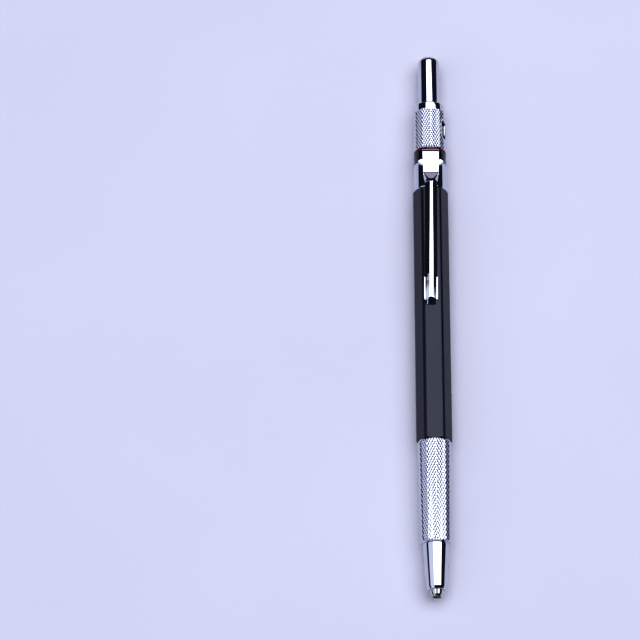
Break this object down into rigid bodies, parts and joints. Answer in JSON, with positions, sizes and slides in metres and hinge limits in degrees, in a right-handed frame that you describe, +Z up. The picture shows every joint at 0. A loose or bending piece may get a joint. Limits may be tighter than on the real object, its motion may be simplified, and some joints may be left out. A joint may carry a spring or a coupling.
{
  "type": "mechanical pencil",
  "caption": "Clutch mechanical pencil: hexagonal barrel, knurled tapered grip, three-jaw tip, spring clip, turning grade sleeve and push button.",
  "frame": {"origin": "on the surface that the pencil lies on, midway along its length, below its axis", "axes": "+X along the pencil towards the push button, +Y across it away from the grade window, +Z up through the clip"},
  "size_m": [0.14, 0.0086, 0.0101],
  "materials": {
    "black_plastic": "satin black moulded plastic",
    "chrome": "bright chromium plate on brass",
    "gloss_black": "gloss black moulded plastic",
    "red_plastic": "wine red moulded plastic",
    "grade_black": null,
    "brass": "turned brass",
    "jaw_brass": "nickel plated brass",
    "spring_steel": "drawn spring steel",
    "tube_steel": "drawn tube",
    "graphite": "graphite lead"
  },
  "bodies": {
    "holder": {"barrel": "black_plastic", "grip_sleeve": "chrome", "nose_cone": "chrome", "front_coupling": "brass", "guide_bush": "brass", "neck_bush": "chrome", "clip_root": "chrome", "rear_collar": "gloss_black", "red_ring": "red_plastic", "grade_drum": "grade_black", "retaining_ring": "spring_steel", "return_spring": "spring_steel"},
    "plunger": {"plunger_tube": "tube_steel", "spring_collar": "brass", "collet_body": "brass", "button_bush": "brass"},
    "jaw_1": {"collet_jaw_1": "jaw_brass"},
    "jaw_2": {"collet_jaw_2": "jaw_brass"},
    "jaw_3": {"collet_jaw_3": "jaw_brass"},
    "lead": {"lead": "graphite"},
    "button": {"push_button": "chrome", "pointer_insert": "gloss_black", "pointer_blade": "spring_steel"},
    "grade_sleeve": {"grade_sleeve": "chrome"},
    "clip_arm": {"clip_arm": "chrome"}
  },
  "joints": [
    {"name": "press", "type": "slide", "parent": "holder", "child": "plunger", "axis": [-1, 0, 0], "range_m": [0, 0.004], "stiffness_N_per_m": 800, "springref_m": -0.003, "deforming": ["return_spring"]},
    {"name": "jaw_1_open", "type": "hinge", "parent": "plunger", "child": "jaw_1", "pos_m": [-0.05905, -0.00098, 0.00469], "axis": [0, 0.5, 0.866], "range_deg": [0, 2.87]},
    {"name": "jaw_2_open", "type": "hinge", "parent": "plunger", "child": "jaw_2", "pos_m": [-0.05905, 0, 0.00299], "axis": [0, -1, 0], "range_deg": [0, 2.87]},
    {"name": "jaw_3_open", "type": "hinge", "parent": "plunger", "child": "jaw_3", "pos_m": [-0.05905, 0.00098, 0.00469], "axis": [0, 0.5, -0.866], "range_deg": [0, 2.87]},
    {"name": "lead_feed", "type": "slide", "parent": "plunger", "child": "lead", "axis": [-1, 0, 0], "range_m": [0, 0.025]},
    {"name": "button_pull", "type": "slide", "parent": "plunger", "child": "button", "axis": [1, 0, 0], "range_m": [0, 0.012]},
    {"name": "grade_turn", "type": "hinge", "parent": "holder", "child": "grade_sleeve", "pos_m": [0.0438, 0, 0.00413], "axis": [1, 0, 0], "continuous": true},
    {"name": "clip_flex", "type": "hinge", "parent": "holder", "child": "clip_arm", "pos_m": [0.0358, 0, 0.0083], "axis": [0, 1, 0], "range_deg": [0, 4], "stiffness_Nm_per_rad": 1.5, "springref_deg": -1.15}
  ],
  "couplings": [
    {"joint": "jaw_1_open", "follows": "press", "rad_per_m": 12.5},
    {"joint": "jaw_2_open", "follows": "press", "rad_per_m": 12.5},
    {"joint": "jaw_3_open", "follows": "press", "rad_per_m": 12.5}
  ]
}
